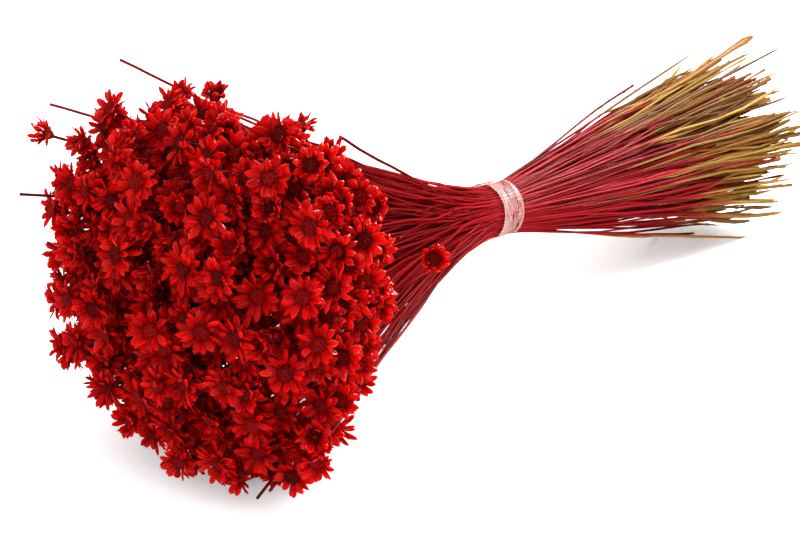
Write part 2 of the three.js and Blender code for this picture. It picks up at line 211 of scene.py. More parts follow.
# stems that lost their flower, by the place of the tip
bare_tips = [
    [-131, 58, 61], [-148, 73, 46], [-180, 45, 26],
    [-107, -18, 44.5], [-164, -42, -50], [-158, -41, -50],
]


def even_draws(state):
    """Draws between 0 and 1 without end: each state is 48271 times the last, modulo 2^31 - 1."""
    while True:
        state = state * 48271 % 2147483647
        yield state / 2147483647


def spray_of(angle):
    """The sixth of the circle that an angle round the axis falls in."""
    return int(angle % (2 * math.pi) / SECTOR) % SPRAYS


def unit(vectors):
    """Each vector over its own length."""
    return vectors / np.linalg.norm(vectors, axis=-1, keepdims=True)


def off_floor(p, low):
    """Moves p towards the bunch's axis until it is no lower than low above the floor."""
    lowest = (low - tie_height + p[0] * math.sin(axis_fall)) / math.cos(axis_fall)
    if p[2] < lowest:
        p[1] *= lowest / p[2]
        p[2] = lowest


def into_sector(p, spray, clear):
    """Turns p round the axis until it is clear inside its spray's sixth of the circle."""
    reach = math.hypot(p[1], p[2])
    middle = (spray + 0.5) * SECTOR
    most = SECTOR / 2 - math.asin(min(most_inset, clear / reach))
    off = (math.atan2(p[2], p[1]) - middle + math.pi) % (2 * math.pi) - math.pi
    off = max(-most, min(most, off))
    p[1] = reach * math.cos(middle + off)
    p[2] = reach * math.sin(middle + off)


def core_radius(angle):
    """Radius of the oval of pressed stems: 1 over the length of (cos / ry, sin / rz)."""
    return 1 / np.hypot(np.cos(angle) / core_radius_y, np.sin(angle) / core_radius_z)


def slot(share, angle):
    """A stem's place under the tape: share runs from the heart of the bundle to its rim."""
    middle = (spray_of(angle) + 0.5) * SECTOR
    reach = slot_heart + (core_radius(angle) - slot_rim - slot_heart) * share
    room = SECTOR / 2 - math.asin(slot_clear / reach)
    turned = middle + (angle % (2 * math.pi) - middle) / (SECTOR / 2) * room
    return np.array([0.0, reach * math.cos(turned), reach * math.sin(turned)])


dome_turns = head_wrap * (np.arange(dome_steps) + 0.5) / dome_steps
mean_radius = math.sqrt(head_radius_y * head_radius_z)
dome_belts = np.sin(dome_turns) * np.hypot(
    mean_radius * np.cos(dome_turns), head_dome * np.sin(dome_turns))
skin_to = np.concatenate([[0], np.cumsum(dome_belts)])


def dome_turn(share):
    """The turn from the dome's pole that leaves the given share of its skin inside."""
    steps = np.interp(share * skin_to[-1], skin_to, np.arange(dome_steps + 1))
    return head_wrap * steps / dome_steps


def head_point(turn, angle):
    """A flattened dome: a half ellipse turned round x, its radius waved 2, 3 and 4 times."""
    lobe = 1 + sum(c * math.cos(n * angle) + s * math.sin(n * angle) for n, c, s in head_lobes)
    return np.array([
        -(head_reach + head_dome * math.cos(turn)),
        lobe * head_radius_y * math.sin(turn) * math.cos(angle),
        lobe * head_radius_z * math.sin(turn) * math.sin(angle),
    ])


def dot(a, b):
    """Sum of a times b over the last axis."""
    return np.einsum("...i,...i", a, b)


def run_misses(at, face, reach, starts, ends):
    """How nearly straight runs of stem miss flowers, 1 or more being a miss. Where a run
    crosses the plane of the petals or of the cup, it is the distance from the flower's
    middle over the radius there plus a little air. The distance squared is that from the
    flower's place less the height of the plane squared."""
    lead, step = starts - at, ends - starts
    before, gain = dot(lead, face)[..., None], dot(step, face)[..., None]
    crosses = (before - miss_planes) * (before + gain - miss_planes) < 0
    part = np.where(crosses, miss_planes - before, 0) / np.where(crosses, gain, 1)
    apart = dot(lead, lead)[..., None] + part * (
        2 * dot(lead, step)[..., None] + part * dot(step, step)[..., None])
    side = np.sqrt(np.maximum(0, apart - miss_planes ** 2))
    room = np.asarray(reach)[..., None] * miss_shares + stem_miss
    return np.where(crosses, side / room, wide_miss).min(axis=(-2, -1))


total = len(lone_flowers) + len(bare_tips) + FLOWERS
at = np.zeros((total, 3))
face = np.zeros((total, 3))
root = np.zeros((total, 3))
run = np.zeros((total, 3, 3))
reach = np.zeros(total)
rise = np.ones(total)
twist = np.zeros(total)
spray = np.zeros(total, int)
whole = np.ones(total, bool)
bare = np.zeros(total, bool)


def clearance(n, k, to_beat):
    """How nearly flower n is clear of the k flowers placed before it: the worst with other
    sprays, up to 1, and a hundredth of the worst with its own. The stems are left out
    where the petals alone don't beat the best so far."""
    own = spray[:k] == spray[n]

    def worst(clear):
        """The least with other sprays, and a little of the least with its own."""
        return clear[~own].min(initial=1) + clear[own].min(initial=1) * own_weight

    apart = at[:k] - at[n]
    far2 = dot(apart, apart)
    wide = (reach[n] + reach[:k]) * near_side
    clear = np.ones(k)
    for facing in (face[n], face[:k]):
        deep = dot(apart, facing)
        side = np.sqrt(np.maximum(0, far2 - deep * deep))
        clear = np.minimum(clear, np.hypot(side / wide, deep / near_deep))
    clear = np.where(far2 < near * near, clear, 1)
    if worst(clear) <= to_beat:
        return worst(clear)
    theirs = run_misses(at[n], face[n], reach[n], run[:k, :2], run[:k, 1:])
    mine = run_misses(at[:k, None], face[:k, None], reach[:k, None], run[n, :2], run[n, 1:])
    return worst(np.minimum(clear, np.minimum(theirs, mine)))


def set_flower(n, k, place, facing, size, height, its_root, its_spray, stands_alone):
    """Flower n with its stem as straight runs. One stem in four goes all the way to the
    tape; the others leave the nearest such stem of their spray part-way up."""
    at[n], face[n], reach[n], rise[n], root[n], spray[n] = (
        place, facing, size, height, its_root, its_spray)
    neck = place - cup_depth * facing
    trunks = np.flatnonzero(whole[:k] & (spray[:k] == its_spray))
    whole[n] = stands_alone or len(trunks) == 0
    if whole[n]:
        start = np.array([-(core_length / 2 - stem_root), its_root[1], its_root[2]])
        middle = its_root * stem_straight_spread
        middle[0] = -(core_length / 2 + stem_straight)
        bow = 0.25 * start + 0.5 * middle + 0.25 * neck
        lean = unit(neck - start)
        bowed = np.linalg.norm(np.cross(bow - start, lean)) > straight_enough
        run[n] = (start, bow, neck) if bowed else (start, neck, neck)
    else:
        trunk = trunks[np.argmin(np.linalg.norm(at[trunks] - place, axis=1))]
        bowed = np.any(run[trunk, 1] != run[trunk, 2])
        start, share = (run[trunk, 1], fork_on_bow) if bowed else (run[trunk, 0], fork_on_straight)
        run[n] = (start + (run[trunk, 2] - start) * share, neck, neck)


for n, (place, facing) in enumerate(lone_flowers + [(tip, tip) for tip in bare_tips]):
    place = np.array(place, float)
    its_spray = spray_of(math.atan2(place[2], place[1]))
    into_sector(place, its_spray, sector_clear)
    off_floor(place, 0)
    bare[n] = n >= len(lone_flowers)
    size = bare_size if bare[n] else petal_reach_min + petal_reach_spread / 2
    its_root = slot(1, math.atan2(place[2], place[1]))
    set_flower(n, 0, place, unit(np.array(facing, float)), size, 1, its_root, its_spray, True)

draws = even_draws(SEED)
for i in range(FLOWERS):
    n = total - FLOWERS + i
    share = math.sqrt((i + 0.5) / FLOWERS)
    angle = i * GOLDEN_ANGLE
    its_spray = spray_of(angle)
    its_root = slot(share, angle)
    turn = dome_turn(share * share)
    best = (0, None)
    for _ in range(tries):
        a = max(min_turn, turn + head_jitter * (next(draws) - 0.5))
        f = angle + head_jitter * (next(draws) - 0.5) / max(pole_ease, math.sin(a))
        depth = head_depth * next(draws)
        size = petal_reach_min + petal_reach_spread * next(draws)
        height = tip_rise_min + tip_rise_spread * next(draws)
        lean = np.array([0.0, next(draws) - 0.5, next(draws) - 0.5])
        place = head_point(a, f)
        back = unit(place)
        place = place - depth * back
        out = np.array([-math.cos(a), math.sin(a) * math.cos(f), math.sin(a) * math.sin(f)])
        facing = unit(face_back * back + face_out * out + face_jitter * lean)
        up = -facing[0] * math.sin(axis_fall) + facing[2] * math.cos(axis_fall)
        off_floor(place, size * math.sqrt(1 - up * up) - floor_cut)
        into_sector(place, its_spray, sector_clear)
        stands_alone = i % fork_every == 0
        one_try = (place, facing, size, height, its_root, its_spray, stands_alone)
        set_flower(n, n, *one_try)
        clear = clearance(n, n, best[0])
        if clear > best[0]:
            best = (clear, one_try)
        if clear >= 1 + own_weight:
            break
    set_flower(n, n, *best[1])
    twist[n] = next(draws)


# ---- Flowers deep in the head ---------------------------------------------
# Under and between the outer flowers hang shorter ones, out of the light. Each
# takes the widest of the gaps that it finds, so that they shut the view inside.

DEEP_FLOWERS = 160
DEEP_SEED = 119
deep_tries = 120
deep_from, deep_to = 8.0, 32.0
deep_behind = 6.0
deep_apart, deep_under = 12.0, 5.0
deep_size, deep_root = (0.8, 1.0), 0.9

rng = np.random.default_rng(DEEP_SEED)
outer_total = total
for n in range(outer_total, outer_total + DEEP_FLOWERS):
    share, angle = rng.uniform(0, 1, deep_tries), rng.uniform(0, 2 * math.pi, deep_tries)
    depth = rng.uniform(deep_from, deep_to, deep_tries)
    places = np.array([head_point(dome_turn(s), a) for s, a in zip(share, angle)])
    backs = unit(places)
    places -= backs * depth[:, None]
    apart = places[:, None] - at[None, ~bare]
    under = np.sum(apart * backs[:, None], axis=2)
    beside = np.sqrt(np.maximum(0, dot(apart, apart) - under ** 2))
    clear = np.hypot(beside / deep_apart, under / deep_under).min(axis=1)
    clear[places[:, 0] > deep_behind - head_reach] = 0
    best = np.argmax(clear)
    size = rng.uniform(*deep_size) * (petal_reach_min + petal_reach_spread)
    facing = unit(backs[best] + face_jitter * rng.uniform(-0.5, 0.5, 3))
    place = places[best].copy()
    off_floor(place, size)
    angle = math.atan2(place[2], place[1])
    at, face = np.vstack([at, place]), np.vstack([face, facing])
    root = np.vstack([root, slot(deep_root * math.sqrt(share[best]), angle)])
    reach, spray = np.append(reach, size), np.append(spray, spray_of(angle))
    bare = np.append(bare, False)
rise = np.append(rise, tip_rise_min + tip_rise_spread * rng.uniform(size=DEEP_FLOWERS))
twist = np.append(twist, rng.uniform(size=DEEP_FLOWERS))
total = outer_total + DEEP_FLOWERS


# ---- Flowers --------------------------------------------------------------
# A star flower is three rows of papery dyed petals round a domed, granular
# disc, on a small cup of bracts. It dried open or half closed: each petal has a
# lengthwise fold, and its tip curls up, out or back.

# how many flowers are partly closed and by how much, and the lone ones one by one
closed_share, closed_by = 0.32, (0.35, 0.95)
lone_closed_by = [0.8, 0.3, 0.8, 0.1, 0.7, 1.0]

rng = np.random.default_rng(SEED)
open_flowers = np.flatnonzero(~bare)
flower_age = rng.uniform(size=total)
flower_close = np.where(rng.uniform(size=total) < closed_share, rng.uniform(*closed_by, total), 0)
flower_close[:len(lone_flowers)] = lone_closed_by

# each row: how many, root radius and height, reach as a share of the flower's,
# tip height above the flower's own, half width, rise of the bend, fold depth
petal_rows = {
    "outer": (12, 1.8, 0.0, (0.96, 1.18), (-1.2, 1.4), (0.90, 1.22), (0.4, 1.7), (-0.7, 0.3)),
    "inner": (6, 2.0, 0.35, (0.66, 0.98), (0.6, 3.0), (0.70, 1.00), (-0.5, 0.9), (-0.7, 0.2)),
    "skirt": (9, 1.6, -0.7, (0.76, 1.08), (-5.0, -1.6), (0.90, 1.25), (0.2, 1.2), (-0.4, 0.2)),
    "bract": (6, 1.1, -1.6, (0.40, 0.52), (-2.2, -0.9), (0.65, 0.90), (-0.2, 0.3), (-0.3, 0.1)),
}
fine_petal = np.array([0.0, 0.2, 0.42, 0.64, 0.84, 1.0]), np.array([-1.0, -0.5, 0.0, 0.5, 1.0])
plain_petal = np.array([0.0, 0.4, 0.75, 1.0]), np.array([-1.0, 0.0, 1.0])
petal_widest, petal_foot, petal_tip_round = 0.6, 0.42, 0.75
petal_thickness = 0.2
petal_uneven, petal_sway, petal_roll, foot_roll = 0.12, 0.45, 0.28, 0.4
bend_back = 0.3
closed_lift, closed_draw_in = 2.2, 0.35

disc_radius, disc_height, disc_foot, disc_grain = 2.6, 1.0, 0.25, 0.1
disc_turns, disc_sides = np.radians([24, 45, 65, 84, 104]), 12
cup_profile = np.array([[-2.75, 0.46], [-2.3, 0.72], [-1.4, 1.55], [-0.4, 2.05], [0.1, 1.9]])
cup_sides, cup_grain = 10, 0.05
grain_upward = 0.7


def square_to(along, towards):
    """Two directions square to along, the first as near as can be to towards."""
    first = unit(towards - along * np.sum(along * towards, axis=-1, keepdims=True))
    return first, np.cross(along, first)


def triangles_of(*corners):
    """Triangles from three lists of point numbers; one number stands for a whole list."""
    return np.stack(np.broadcast_arrays(*corners), 1)


def quads_of(a, b, c, d):
    """Two triangles for each four-sided face, whose corners run round it from a to d."""
    return np.concatenate([triangles_of(a, b, c), triangles_of(a, c, d)])


def petals(flowers, grid, count, foot_radius, foot_height, shares, lifts, widths, bends, folds):
    """Petals of one row on each flower, all at once. Along its length a petal is a quadratic
    curve in the plane through the flower's axis. Across, it is as wide as a sine up to its
    widest place and a round-shouldered point beyond it, and its middle is sunk or raised by
    the fold times one less the square of the way across. Under it a single keel line closes
    it. Returns points, triangles and the values along, across and tint of each point."""
    shape = (len(flowers), count)
    first, second = square_to(face[flowers], unit(root[flowers]))
    closing = flower_close[flowers][:, None]
    turn = 2 * np.pi * (np.arange(count) + rng.normal(0, petal_uneven, shape)) / count
    turn += 2 * np.pi * twist[flowers][:, None] + foot_radius
    tip_radius = reach[flowers][:, None] * rng.uniform(*shares, shape) * (1 - closed_draw_in * closing)
    tip_height = rise[flowers][:, None] + rng.uniform(*lifts, shape) + closed_lift * closing
    half_width = rng.uniform(*widths, shape)
    bend = rng.uniform(*bends, shape)
    fold = rng.uniform(*folds, shape)
    roll = rng.normal(0, petal_roll, shape)
    sway = rng.normal(0, petal_sway, shape)
    tint = rng.uniform(size=shape)

    facing = face[flowers][:, None, None]
    cos, sin = np.cos(turn)[..., None], np.sin(turn)[..., None]
    out = (first[:, None] * cos + second[:, None] * sin)[..., None, :]
    side = (second[:, None] * cos - first[:, None] * sin)[..., None, :]
    middle_radius = (foot_radius + tip_radius) / 2 - bend_back * bend
    middle_height = (foot_height + tip_height) / 2 + bend

    u, v = grid
    grow = [(1 - u) ** 2, 2 * u * (1 - u), u ** 2]
    slope = [-2 * (1 - u), 2 - 4 * u, 2 * u]
    radii = (np.full(shape, foot_radius), middle_radius, tip_radius)
    heights = (np.full(shape, foot_height), middle_height, tip_height)
    r, h = (sum(c[..., None] * g for c, g in zip(three, grow)) for three in (radii, heights))
    dr, dh = (sum(c[..., None] * g for c, g in zip(three, slope)) for three in (radii, heights))
    steep = np.hypot(dr, dh)
    spine_up = facing * dr[..., None] - out * dh[..., None]
    spine_up /= steep[..., None]
    spine = at[flowers][:, None, None] + out * r[..., None]
    spine = spine + facing * h[..., None]
    spine += side * (sway[..., None] * u ** 2)[..., None]
    turned = (roll[..., None] * (foot_roll + u))[..., None]
    over = side * np.cos(turned) + spine_up * np.sin(turned)
    up = spine_up * np.cos(turned) - side * np.sin(turned)

    before = petal_foot + (1 - petal_foot) * np.sin(np.pi / 2 * np.minimum(u / petal_widest, 1))
    past = np.clip((u - petal_widest) / (1 - petal_widest), 0, 1)
    wide = half_width[..., None] * before * (1 - past ** 2) ** petal_tip_round
    top = spine[..., None, :] + over[..., None, :] * (wide[..., None] * v)[..., None]
    top += up[..., None, :] * ((fold[..., None] * wide)[..., None] * (1 - v ** 2))[..., None]
    keel = top[..., :-1, len(v) // 2, :] - up[..., :-1, :] * petal_thickness

    rows, cols = len(u) - 1, len(v)
    points = np.concatenate([
        top[..., :rows, :, :].reshape(*shape, rows * cols, 3), top[..., rows, :1, :], keel], axis=2)
    values = np.zeros((*shape, points.shape[2], 3))
    values[..., 0] = np.concatenate([np.repeat(u[:rows], cols), [1.0], u[:rows]])
    values[..., 1] = np.concatenate([np.tile(v, rows), [0.0], np.zeros(rows)])
    values[..., 2] = tint[..., None]

    i, j = np.meshgrid(np.arange(rows - 1), np.arange(cols - 1), indexing="ij")
    i, j = i.ravel(), j.ravel()
    tip, under = rows * cols, rows * cols + 1
    a, b, c, d = i * cols + j, (i + 1) * cols + j, (i + 1) * cols + j + 1, i * cols + j + 1
    k = np.arange(rows - 1)
    left, left2 = k * cols, (k + 1) * cols
    right, right2 = left + cols - 1, left2 + cols - 1
    low, low2 = under + k, under + k + 1
    e = np.arange(cols - 1)
    last = (rows - 1) * cols
    faces = np.concatenate([
        quads_of(a, b, c, d),
        triangles_of(last + e, tip, last + e + 1),
        quads_of(left, low, low2, left2),
        quads_of(low, right, right2, low2),
        [[last, under + rows - 1, tip], [under + rows - 1, last + cols - 1, tip]],
        triangles_of(under, e, e + 1),
    ])
    return spread_out(points.reshape(-1, points.shape[2], 3), faces, values)


def spread_out(points, faces, values):
    """Copies of one small mesh, points (copies, n, 3), as one list of points, triangles and values."""
    copies, n = points.shape[:2]
    triangles = faces[None] + (np.arange(copies) * n)[:, None, None]
    return points.reshape(-1, 3), triangles.reshape(-1, 3), values.reshape(copies * n, -1)


def tube_faces(rings, sides):
    """Faces of rings of points, one after the other, closed at each end by a last point."""
    i, j = np.meshgrid(np.arange(rings - 1), np.arange(sides), indexing="ij")
    i, j = i.ravel(), j.ravel()
    after = (j + 1) % sides
    e = np.arange(sides)
    far = (rings - 1) * sides
    return np.concatenate([
        quads_of(i * sides + j, i * sides + after, (i + 1) * sides + after, (i + 1) * sides + j),
        triangles_of(rings * sides, (e + 1) % sides, e),
        triangles_of(rings * sides + 1, far + e, far + (e + 1) % sides),
    ])


def turned_shape(flowers, radii, heights, sides, grain):
    """A profile of rings carried round each flower's axis and closed at both ends by a point,
    each point moved by a little of its own grain. The rings go from low to high."""
    count, rings = radii.shape
    first, second = square_to(face[flowers], unit(root[flowers]))
    turn = 2 * np.pi * (np.arange(sides)[None] + 0.5 * (np.arange(rings) % 2)[:, None]) / sides
    ring = (first[:, None, None] * np.cos(turn)[..., None]
            + second[:, None, None] * np.sin(turn)[..., None])
    rough = rng.normal(0, 1, (count, rings, sides, 1)) * grain
    axis = face[flowers][:, None, None]
    body = at[flowers][:, None, None] + ring * (radii[:, :, None, None] + rough)
    body = body + axis * (heights[:, :, None, None] + grain_upward * rough)
    ends = at[flowers][:, None] + face[flowers][:, None] * heights[:, [0, -1], None]
    points = np.concatenate([body.reshape(count, rings * sides, 3), ends], axis=1)
    values = np.zeros((count, rings * sides + 2, 3))
    values[:, :-2, 0] = np.repeat(np.arange(rings) / (rings - 1), sides)
    values[:, -1, 0] = 1
    values[..., 1] = rng.uniform(size=values.shape[:2])
    values[..., 2] = flower_age[flowers][:, None]
    return spread_out(points, tube_faces(rings, sides), values)


def laid(points):
    """Points of the bunch's own frame on the table, in metres: turned by its fall about y."""
    x, y, z = points.T
    flat = np.stack([
        x * math.cos(axis_fall) + z * math.sin(axis_fall), y,
        -x * math.sin(axis_fall) + z * math.cos(axis_fall)], axis=1)
    return tie + flat * MM


def add_piece(name, parts, materials, replaced):
    """One piece of the bunch from parts (points, triangles, values), the n-th with the n-th
    material. Points under the table top are pressed up onto it."""
    starts = np.cumsum([0] + [len(points) for points, _, _ in parts])
    points = laid(np.concatenate([p for p, _, _ in parts]))
    points[:, 2] = np.maximum(points[:, 2], 0)
    triangles = np.concatenate([t + start for (_, t, _), start in zip(parts, starts)])
    values = np.concatenate([v for _, _, v in parts])
    mesh = bpy.data.meshes.new(name)
    mesh.vertices.add(len(points))
    mesh.vertices.foreach_set("co", points.ravel())
    mesh.loops.add(triangles.size)
    mesh.loops.foreach_set("vertex_index", triangles.ravel().astype(np.int32))
    mesh.polygons.add(len(triangles))
    mesh.polygons.foreach_set("loop_start", np.arange(0, triangles.size, 3, dtype=np.int32))
    mesh.polygons.foreach_set("use_smooth", np.ones(len(triangles), bool))
    of_part = np.repeat(np.arange(len(parts)), [len(t) for _, t, _ in parts])
    mesh.polygons.foreach_set("material_index", of_part.astype(np.int32))
    for material in materials:
        mesh.materials.append(material)
    for n, value in enumerate(("along", "across", "tint")):
        mesh.attributes.new(value, "FLOAT", "POINT").data.foreach_set(
            "value", values[:, n].astype(np.float32))
    mesh.update(calc_edges=True)
    piece = bpy.data.objects.new(name, mesh)
    bpy.context.scene.collection.objects.link(piece)
    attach(piece, "root")
    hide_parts(replaced)


def value_of(name):
    """The output of a node that reads one of a piece's own point values."""
    attribute = tree.nodes.new("ShaderNodeAttribute")
    attribute.attribute_name = name
    return attribute.outputs["Fac"]


def worked(operation, *inputs, clamp=False):
    """The output of a Math node; each input is a number or another node's output."""
    node = tree.nodes.new("ShaderNodeMath")
    node.operation = operation
    node.use_clamp = clamp
    for n, value in enumerate(inputs):
        if isinstance(value, (int, float)):
            node.inputs[n].default_value = value
        else:
            tree.links.new(value, node.inputs[n])
    return node.outputs[0]


def colours(value, stops):
    """The colour output of a ramp over value with stops (place, (red, green, blue))."""
    ramp = tree.nodes.new("ShaderNodeValToRGB")
    elements = ramp.color_ramp.elements
    while len(elements) < len(stops):
        elements.new(0.5)
    for element, (place, colour) in zip(elements, stops):
        element.position = place
        element.color = (*colour, 1)
    tree.links.new(value, ramp.inputs[0])
    return ramp.outputs["Color"]


def mixed(share, a, b, blend="MIX"):
    """The colour output of a Mix node: a and b are colours or outputs."""
    node = tree.nodes.new("ShaderNodeMix")
    node.data_type = "RGBA"
    node.blend_type = blend
    for socket, value in (("Factor_Float", share), ("A_Color", a), ("B_Color", b)):
        target = next(s for s in node.inputs if s.identifier == socket)
        if isinstance(value, (int, float)):
            target.default_value = value
        elif isinstance(value, tuple):
            target.default_value = (*value, 1)
        else:
            tree.links.new(value, target)
    return next(s for s in node.outputs if s.identifier == "Result_Color")


def own_place():
    """The place of each point of the piece itself, in metres."""
    return tree.nodes.new("ShaderNodeTexCoord").outputs["Object"]


def noise(scale, detail, vector=None):
    """The value output of a Noise node in object coordinates, or along a given vector."""
    texture = tree.nodes.new("ShaderNodeTexNoise")
    sockets(texture, Scale=scale, Detail=detail)
    if vector is None:
        vector = own_place()
    tree.links.new(vector, texture.inputs["Vector"])
    return texture.outputs["Fac"]


def bump(shader, height, strength, distance):
    """Small relief on a shader's normal: distance in metres."""
    node = tree.nodes.new("ShaderNodeBump")
    sockets(node, Strength=strength, Distance=distance)
    tree.links.new(height, node.inputs["Height"])
    tree.links.new(node.outputs["Normal"], shader.inputs["Normal"])


def streak_place(**scales):
    """A vector for streaks: each named point value, times its own scale, is one direction."""
    combine = tree.nodes.new("ShaderNodeCombineXYZ")
    for n, (name, scale) in enumerate(scales.items()):
        tree.links.new(worked("MULTIPLY", value_of(name), scale), combine.inputs[n])
    return combine.outputs[0]


def petal_paper():
    """Satin dyed paper with fine lengthwise veins and a tint of its own for each petal. Its foot
    is darkened round the disc as painted shade, and pinkish painted highlights run along the
    vein ridges and the edges and tinge the tip."""
    material, shader = blank_material("petal_paper")
    sockets(shader, Roughness=0.13, Specular_IOR_Level=0.85, Subsurface_Weight=0.45,
            Subsurface_Radius=(1.0, 0.12, 0.12), Subsurface_Scale=0.0006)
    # along each petal: dark at the foot as painted shade round the disc, pinkish at the tip as a
    # painted highlight
    body = colours(value_of("along"), [
        (0.0, (0.14, 0.0003, 0.0005)), (0.35, (0.44, 0.0005, 0.0007)),
        (0.8, (0.68, 0.0007, 0.0007)), (1.0, (0.80, 0.0070, 0.0055))])
    veins = noise(1.0, 3.0, streak_place(along=1.2, across=5.5, tint=40.0))
    body = mixed(worked("MULTIPLY", veins, 0.55), body, (0.17, 0.0003, 0.0006))
    # painted highlight: pale pink on the vein ridges, growing towards the tip
    ridge_highlight = worked("MULTIPLY_ADD", veins, -6.0, 2.3, clamp=True)
    ridge_highlight = worked("MULTIPLY", ridge_highlight, worked("MULTIPLY", value_of("along"), 0.55))
    body = mixed(ridge_highlight, body, (0.92, 0.052, 0.040))
    # painted highlight: pale pink along both edges, growing towards the tip
    edge_highlight = worked("POWER", worked("ABSOLUTE", value_of("across")), 5.0)
    edge_highlight = worked("MULTIPLY", edge_highlight, worked("MULTIPLY", value_of("along"), 0.5))
    body = mixed(edge_highlight, body, (0.88, 0.048, 0.038))
    tone = colours(value_of("tint"), [
        (0.0, (0.52, 0.15, 0.15)), (0.5, (1.0, 0.50, 0.48)), (1.0, (1.30, 2.4, 2.1))])
    tree.links.new(mixed(1.0, body, tone, "MULTIPLY"), shader.inputs["Base Color"])
    bump(shader, veins, 0.4, 0.00012)
    return material


def disc_grains():
    """Crowded dried florets: bright red grains, dark maroon between them, a few of them pale pink."""
    material, shader = blank_material("disc_grains")
    sockets(shader, Roughness=0.5, Specular_IOR_Level=0.06)
    cells = tree.nodes.new("ShaderNodeTexVoronoi")
    sockets(cells, Scale=2100.0, Randomness=0.8)
    tree.links.new(own_place(), cells.inputs["Vector"])
    grain = worked("SUBTRACT", 0.75, cells.outputs["Distance"], clamp=True)
    body = colours(grain, [
        (0.15, (0.09, 0.0001, 0.0003)), (0.45, (0.32, 0.0005, 0.0010)),
        (0.70, (0.56, 0.0012, 0.0020))])
    rare = worked("POWER", noise(1500.0, 1.0), 6.0)
    body = mixed(worked("MULTIPLY", rare, grain), body, (0.75, 0.10, 0.12))
    age = colours(value_of("tint"), [
        (0.0, (0.40, 0.5, 0.5)), (0.5, (0.82, 0.8, 0.8)), (1.0, (1.15, 1.1, 1.1))])
    tree.links.new(mixed(1.0, body, age, "MULTIPLY"), shader.inputs["Base Color"])
    bump(shader, grain, 1.0, 0.0005)
    return material


def bract_husk():
    """The cup's dry bracts: brown-red, darker towards the stem."""
    material, shader = blank_material("bract_husk")
    sockets(shader, Roughness=0.6, Specular_IOR_Level=0.05)
    streaks = noise(1.0, 3.0, streak_place(along=2.0, across=6.0, tint=40.0))
    dark = colours(value_of("along"), [
        (0.0, (0.10, 0.006, 0.008)), (1.0, (0.36, 0.010, 0.012))])
    tree.links.new(mixed(streaks, dark, (0.12, 0.012, 0.010)), shader.inputs["Base Color"])
    bump(shader, streaks, 0.5, 0.0002)
    return material


paper, grains, husk = petal_paper(), disc_grains(), bract_husk()
for k in range(SPRAYS):
    parts, materials = [], []
    in_spray = open_flowers[spray[open_flowers] == k]
    for mine, grid, every in ((in_spray[in_spray < outer_total], fine_petal, 1),
                              (in_spray[in_spray >= outer_total], plain_petal, 2)):
        size = (reach[mine] / (petal_reach_min + petal_reach_spread / 2))[:, None]
        for row, numbers in petal_rows.items():
            if every == 1 or row in ("outer", "inner"):
                parts.append(petals(mine, plain_petal if row == "bract" else grid, *numbers))
                materials.append(husk if row == "bract" else paper)
        turns = disc_turns[::-every]
        parts.append(turned_shape(
            mine, disc_radius * size * np.sin(turns)[None],
            disc_foot + disc_height * size * np.cos(turns)[None], disc_sides // every, disc_grain))
        profile = cup_profile[::every]
        parts.append(turned_shape(
            mine, profile[:, 1][None] * np.ones_like(size), profile[:, 0][None] * np.ones_like(size),
            cup_sides // every, cup_grain))
        materials += [grains, husk]
    add_piece(f"flowers_{k + 1}", parts, materials, f"spray_{k + 1}")


# ---- Stems ----------------------------------------------------------------
# Every stem is one thin dried straw: from under its flower it runs through the
# tie and on to its cut end, where the undyed sheath at its foot is golden. The
# dye stops part-way down the tail, sooner or later on each stem.

FILLERS = 240
TAIL_EVERY = 3
tail_reach, tail_radius_y, tail_radius_z = 192.0, 39.0, 38.0
tail_ragged, tail_jitter, tail_turn = 0.17, 0.16, 0.2
tail_lift = np.array([0, 2.0, 6.0])
inner_reach, inner_out, inner_turn = (0.86, 0.99), (0.85, 1.08), 0.15
filler_turn, filler_tail_turn = 0.2, 0.12
filler_low, filler_top, filler_short, top_off_floor = 0.95, 0.97, 0.3, 1.0
stem_end_radius = 0.78
packed_rim, packed_off = 0.46, 0.9

# cut ends that stand out of the tail, by place
lone_ends = [
    [190, -6, 53], [120, 14, 35], [184, 22, 43], [188, -20, 50], [149, 12, -39], [175, -21, -38],
]

lone_total = total + len(lone_ends)
stem_count = lone_total + FILLERS
tops = np.zeros((stem_count, 3))
faces_back = np.zeros((stem_count, 3))
ends = np.zeros((stem_count, 3))
wanted = np.zeros((stem_count, 3))
tops[:total] = at - face * np.where(bare, 0, cup_depth)[:, None]
faces_back[:total] = face
wanted[:total] = root


def cut_end(reach, out, turn):
    """A cut end: a share of the tail's reach along x, and of its oval to the side."""
    return np.array([
        tail_reach * reach,
        tail_radius_y * out * math.cos(turn), tail_radius_z * out * math.sin(turn)])


draws = even_draws(SEED + 1)
for i in range(FLOWERS):
    share = math.sqrt((i + 0.5) / FLOWERS)
    ragged = next(draws)
    out = share * (1 + tail_jitter * (next(draws) - 0.5))
    turn = i * GOLDEN_ANGLE + tail_turn * (next(draws) - 0.5)
    end = cut_end(1 - tail_ragged * ragged * ragged, out, turn)
    off_floor(end, stem_end_radius - floor_cut)
    into_sector(end, spray_of(i * GOLDEN_ANGLE), end_clear)
    ends[outer_total - FLOWERS + i] = end if i % TAIL_EVERY == 0 else end + tail_lift

mean_core = math.sqrt(core_radius_y * core_radius_z)
spots = np.arange(stem_count)
spot_share = np.sqrt((spots + 0.5) / stem_count)
spot_angle = spots * GOLDEN_ANGLE
spot_reach = spot_share * (core_radius(spot_angle) - packed_rim)
packed = np.stack([0 * spot_reach, spot_reach * np.cos(spot_angle), spot_reach * np.sin(spot_angle)], 1)

for n in [*range(outer_total - FLOWERS), *range(outer_total, total)]:
    turn = math.atan2(root[n, 2], root[n, 1]) + rng.normal(0, inner_turn)
    share = math.hypot(root[n, 1], root[n, 2]) / mean_core
    out = rng.uniform(*inner_out) * share
    ends[n] = cut_end(rng.uniform(*inner_reach), out, turn) + tail_lift
    off_floor(ends[n], stem_end_radius)
for n, place in enumerate(lone_ends, total):
    ends[n] = place
    turn = math.atan2(place[2], place[1])
    wanted[n] = core_radius(turn) * np.array([0, math.cos(turn), math.sin(turn)])

